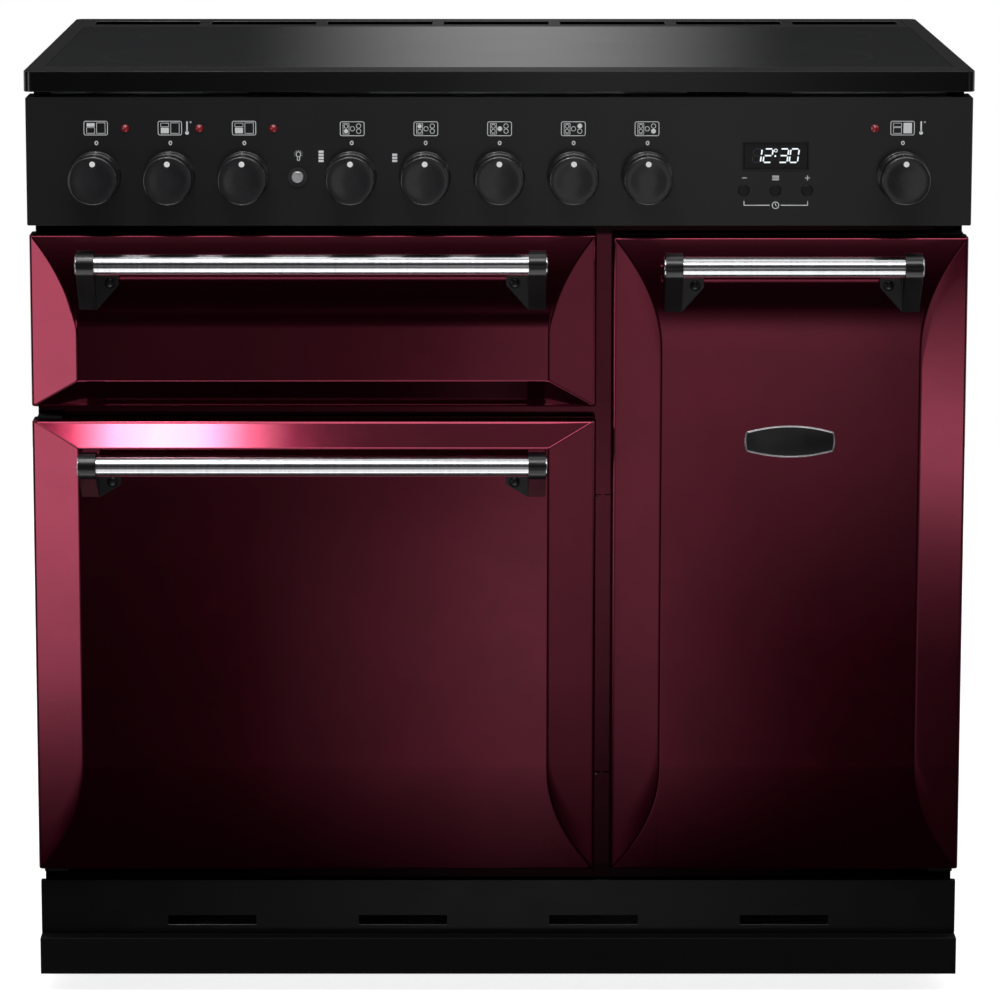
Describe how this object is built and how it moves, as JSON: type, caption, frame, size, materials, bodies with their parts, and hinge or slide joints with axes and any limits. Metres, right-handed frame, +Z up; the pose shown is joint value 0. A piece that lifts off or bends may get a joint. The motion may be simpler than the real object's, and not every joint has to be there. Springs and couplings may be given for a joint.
{
  "type": "range cooker",
  "caption": "Wide free-standing electric range cooker with burgundy enamel doors, a black panel of knobs and an induction hob.",
  "frame": {"origin": "on the floor, in the middle of the cooker's width and of its depth over the door handles", "axes": "+X to the right seen from the front, +Y to the back, +Z up"},
  "size_m": [0.897, 0.6485, 0.905],
  "materials": {
    "burgundy_enamel": "gloss vitreous enamel",
    "black_enamel": "semi-gloss black enamel",
    "panel_black": "satin black coated steel",
    "case_steel": "black powder coated sheet steel",
    "zinc_steel": "zinc plated steel",
    "stainless": "fine brushed stainless steel",
    "black_casting": "black powder coat",
    "oven_enamel": "speckled oven enamel",
    "knob_plastic": "satin black thermoset",
    "button_metal": "satin chrome",
    "hob_ceramic": "black ceramic glass",
    "coil_copper": "wound copper on a former",
    "tray_aluminium": "folded sheet",
    "mineral_wool": "mineral wool blanket",
    "seal_fibre": "woven glass fibre seal",
    "element_steel": "oxidised heating element sheath",
    "rack_wire": "plated wire",
    "fan_steel": "pressed fan wheel",
    "motor_steel": "motor can",
    "lamp_red": "red neon lens",
    "black_plastic": "moulded plastic",
    "switch_plastic": "switch body",
    "foot_black": "foot and roller plastic"
  },
  "bodies": {
    "root": {"back_panel": "zinc_steel", "base_tray": "zinc_steel", "clock_module": "black_plastic", "control_panel": "panel_black", "control_switches": "switch_plastic", "door_hinges": "zinc_steel", "door_seals": "seal_fibre", "fan_baffles": "oven_enamel", "fan_motors": "motor_steel", "front_frame": "burgundy_enamel", "grill_cavity": "oven_enamel", "heating_elements": "element_steel", "hob_frame": "black_enamel", "hob_glass": "hob_ceramic", "induction_coils": "coil_copper", "insulation": "mineral_wool", "lamps": "lamp_red", "levelling_feet": "foot_black", "main_oven_cavity": "oven_enamel", "plinth": "black_enamel", "power_tray": "tray_aluminium", "shelf_racks": "rack_wire", "side_panel_left": "case_steel", "side_panel_right": "case_steel", "tall_oven_cavity": "oven_enamel", "terminal_block": "black_plastic", "vent_deck": "black_enamel", "vent_trim": "black_enamel"},
    "main_door": {"main_door_panel": "burgundy_enamel", "main_door_liner": "oven_enamel", "main_door_handle_bar": "stainless", "main_door_handle_brackets": "black_casting"},
    "tall_door": {"tall_door_panel": "burgundy_enamel", "tall_door_liner": "oven_enamel", "tall_door_handle_bar": "stainless", "tall_door_handle_brackets": "black_casting"},
    "grill_door": {"grill_door_panel": "burgundy_enamel", "grill_door_liner": "oven_enamel", "grill_door_handle_bar": "stainless", "grill_door_handle_brackets": "black_casting"},
    "knob_grill": {"knob_grill": "knob_plastic"},
    "knob_main_oven_temperature": {"knob_main_oven_temperature": "knob_plastic"},
    "knob_main_oven_function": {"knob_main_oven_function": "knob_plastic"},
    "knob_hob_left_front": {"knob_hob_left_front": "knob_plastic"},
    "knob_hob_left_rear": {"knob_hob_left_rear": "knob_plastic"},
    "knob_hob_centre": {"knob_hob_centre": "knob_plastic"},
    "knob_hob_right_rear": {"knob_hob_right_rear": "knob_plastic"},
    "knob_hob_right_front": {"knob_hob_right_front": "knob_plastic"},
    "knob_tall_oven": {"knob_tall_oven": "knob_plastic"},
    "oven_light_button": {"oven_light_button": "button_metal"},
    "clock_button_minus": {"clock_button_minus": "black_plastic"},
    "clock_button_select": {"clock_button_select": "black_plastic"},
    "clock_button_plus": {"clock_button_plus": "black_plastic"},
    "main_oven_fan": {"main_oven_fan": "fan_steel"},
    "tall_oven_fan": {"tall_oven_fan": "fan_steel"},
    "cooling_fan": {"cooling_fan": "fan_steel"},
    "rear_rollers": {"rear_rollers": "foot_black"},
    "main_oven_shelf": {"main_oven_shelf": "rack_wire"},
    "tall_oven_shelf": {"tall_oven_shelf": "rack_wire"},
    "grill_pan": {"grill_pan": "oven_enamel"}
  },
  "joints": [
    {"name": "grill_door_drop", "type": "hinge", "parent": "root", "child": "grill_door", "pos_m": [-0.17675, -0.25375, 0.5965], "axis": [1, 0, 0], "range_deg": [0, 90]},
    {"name": "main_door_swing", "type": "hinge", "parent": "root", "child": "main_door", "pos_m": [-0.4385, -0.24975, 0.348], "axis": [0, 0, -1], "range_deg": [0, 95]},
    {"name": "tall_door_swing", "type": "hinge", "parent": "root", "child": "tall_door", "pos_m": [0.4385, -0.24975, 0.4365], "axis": [0, 0, 1], "range_deg": [0, 95]},
    {"name": "knob_grill_turn", "type": "hinge", "parent": "root", "child": "knob_grill", "pos_m": [-0.3816, -0.28, 0.805], "axis": [0, 1, 0], "range_deg": [0, 270]},
    {"name": "knob_main_oven_temperature_turn", "type": "hinge", "parent": "root", "child": "knob_main_oven_temperature", "pos_m": [-0.3116, -0.28, 0.805], "axis": [0, 1, 0], "range_deg": [0, 270]},
    {"name": "knob_main_oven_function_turn", "type": "hinge", "parent": "root", "child": "knob_main_oven_function", "pos_m": [-0.2416, -0.28, 0.805], "axis": [0, 1, 0], "range_deg": [0, 315]},
    {"name": "knob_hob_left_front_turn", "type": "hinge", "parent": "root", "child": "knob_hob_left_front", "pos_m": [-0.14, -0.28, 0.805], "axis": [0, 1, 0], "range_deg": [0, 290]},
    {"name": "knob_hob_left_rear_turn", "type": "hinge", "parent": "root", "child": "knob_hob_left_rear", "pos_m": [-0.07, -0.28, 0.805], "axis": [0, 1, 0], "range_deg": [0, 290]},
    {"name": "knob_hob_centre_turn", "type": "hinge", "parent": "root", "child": "knob_hob_centre", "pos_m": [0, -0.28, 0.805], "axis": [0, 1, 0], "range_deg": [0, 290]},
    {"name": "knob_hob_right_rear_turn", "type": "hinge", "parent": "root", "child": "knob_hob_right_rear", "pos_m": [0.07, -0.28, 0.805], "axis": [0, 1, 0], "range_deg": [0, 290]},
    {"name": "knob_hob_right_front_turn", "type": "hinge", "parent": "root", "child": "knob_hob_right_front", "pos_m": [0.14, -0.28, 0.805], "axis": [0, 1, 0], "range_deg": [0, 290]},
    {"name": "knob_tall_oven_turn", "type": "hinge", "parent": "root", "child": "knob_tall_oven", "pos_m": [0.3816, -0.28, 0.805], "axis": [0, 1, 0], "range_deg": [0, 270]},
    {"name": "oven_light_push", "type": "slide", "parent": "root", "child": "oven_light_button", "axis": [0, 1, 0], "range_m": [0, 0.003], "stiffness_N_per_m": 400},
    {"name": "clock_button_minus_push", "type": "slide", "parent": "root", "child": "clock_button_minus", "axis": [0, 1, 0], "range_m": [0, 0.0015], "stiffness_N_per_m": 200},
    {"name": "clock_button_select_push", "type": "slide", "parent": "root", "child": "clock_button_select", "axis": [0, 1, 0], "range_m": [0, 0.0015], "stiffness_N_per_m": 200},
    {"name": "clock_button_plus_push", "type": "slide", "parent": "root", "child": "clock_button_plus", "axis": [0, 1, 0], "range_m": [0, 0.0015], "stiffness_N_per_m": 200},
    {"name": "main_oven_fan_spin", "type": "hinge", "parent": "root", "child": "main_oven_fan", "pos_m": [-0.17675, 0.125, 0.34805], "axis": [0, 1, 0], "continuous": true},
    {"name": "tall_oven_fan_spin", "type": "hinge", "parent": "root", "child": "tall_oven_fan", "pos_m": [0.27745, 0.125, 0.4365], "axis": [0, 1, 0], "continuous": true},
    {"name": "cooling_fan_spin", "type": "hinge", "parent": "root", "child": "cooling_fan", "pos_m": [0, 0.2713, 0.7974], "axis": [0, 1, 0], "continuous": true},
    {"name": "rear_rollers_roll", "type": "hinge", "parent": "root", "child": "rear_rollers", "pos_m": [0, 0.26225, 0.02], "axis": [1, 0, 0], "continuous": true},
    {"name": "main_oven_shelf_slide", "type": "slide", "parent": "root", "child": "main_oven_shelf", "axis": [0, -1, 0], "range_m": [0, 0.018]},
    {"name": "tall_oven_shelf_slide", "type": "slide", "parent": "root", "child": "tall_oven_shelf", "axis": [0, -1, 0], "range_m": [0, 0.018]},
    {"name": "grill_pan_slide", "type": "slide", "parent": "root", "child": "grill_pan", "axis": [0, -1, 0], "range_m": [0, 0.018]}
  ]
}
